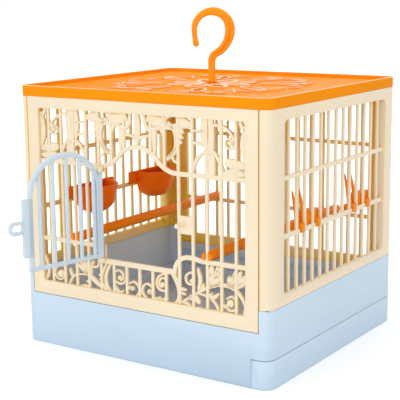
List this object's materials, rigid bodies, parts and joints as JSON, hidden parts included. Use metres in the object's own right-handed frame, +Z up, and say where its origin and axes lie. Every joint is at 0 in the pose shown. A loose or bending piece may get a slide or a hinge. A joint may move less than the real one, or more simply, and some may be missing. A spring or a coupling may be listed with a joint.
{
  "type": "bird cage",
  "caption": "Box-shaped small bird cage with barred walls, arched swinging door, sliding litter drawer, perches, feeding cups, fruit forks and a swivelling carrying hook.",
  "frame": {"origin": "middle of the base's underside, on the surface that the cage stands on", "axes": "+X to the right as seen from the door side, +Y to the back, +Z up along the hook's stem"},
  "size_m": [0.29, 0.3653, 0.3373],
  "materials": {
    "orange_plastic": "glossy orange injection-moulded plastic",
    "cream_plastic": "satin cream injection-moulded plastic",
    "blue_plastic": "satin pale blue injection-moulded plastic",
    "red_orange_plastic": "glossy red-orange injection-moulded plastic"
  },
  "bodies": {
    "cage": {"base_housing": "blue_plastic", "front_panel": "cream_plastic", "front_scroll_upper": "cream_plastic", "front_scroll_lower": "cream_plastic", "back_panel": "cream_plastic", "left_wall": "cream_plastic", "right_wall": "cream_plastic", "roof_lid": "orange_plastic"},
    "drawer": {"litter_drawer": "blue_plastic"},
    "hook": {"carry_hook": "orange_plastic", "hook_nut": "orange_plastic"},
    "door_body": {"door": "blue_plastic"},
    "left_perch": {"perch_left": "red_orange_plastic"},
    "right_perch": {"perch_right": "red_orange_plastic"},
    "front_cup": {"cup_front": "red_orange_plastic"},
    "rear_cup": {"cup_rear": "red_orange_plastic"},
    "front_fork": {"fork_front": "red_orange_plastic"},
    "rear_fork": {"fork_rear": "red_orange_plastic"}
  },
  "joints": [
    {"name": "drawer_slide", "type": "slide", "parent": "cage", "child": "drawer", "axis": [1, 0, 0], "range_m": [0, 0.2]},
    {"name": "door_hinge", "type": "hinge", "parent": "cage", "child": "door_body", "pos_m": [-0.043, -0.132, 0.142], "axis": [0, 0, 1], "range_deg": [-70, 104]},
    {"name": "hook_swivel", "type": "hinge", "parent": "cage", "child": "hook", "pos_m": [0, 0, 0.26], "axis": [0, 0, 1], "continuous": true},
    {"name": "perch_left_lift", "type": "slide", "parent": "cage", "child": "left_perch", "axis": [0, 0, 1], "range_m": [0, 0.06]},
    {"name": "perch_right_lift", "type": "slide", "parent": "cage", "child": "right_perch", "axis": [0, 0, 1], "range_m": [0, 0.06]},
    {"name": "cup_front_lift", "type": "slide", "parent": "cage", "child": "front_cup", "axis": [0, 0, 1], "range_m": [0, 0.02]},
    {"name": "cup_rear_lift", "type": "slide", "parent": "cage", "child": "rear_cup", "axis": [0, 0, 1], "range_m": [0, 0.02]},
    {"name": "fork_front_lift", "type": "slide", "parent": "cage", "child": "front_fork", "axis": [0, 0, 1], "range_m": [0, 0.02]},
    {"name": "fork_rear_lift", "type": "slide", "parent": "cage", "child": "rear_fork", "axis": [0, 0, 1], "range_m": [0, 0.02]}
  ]
}
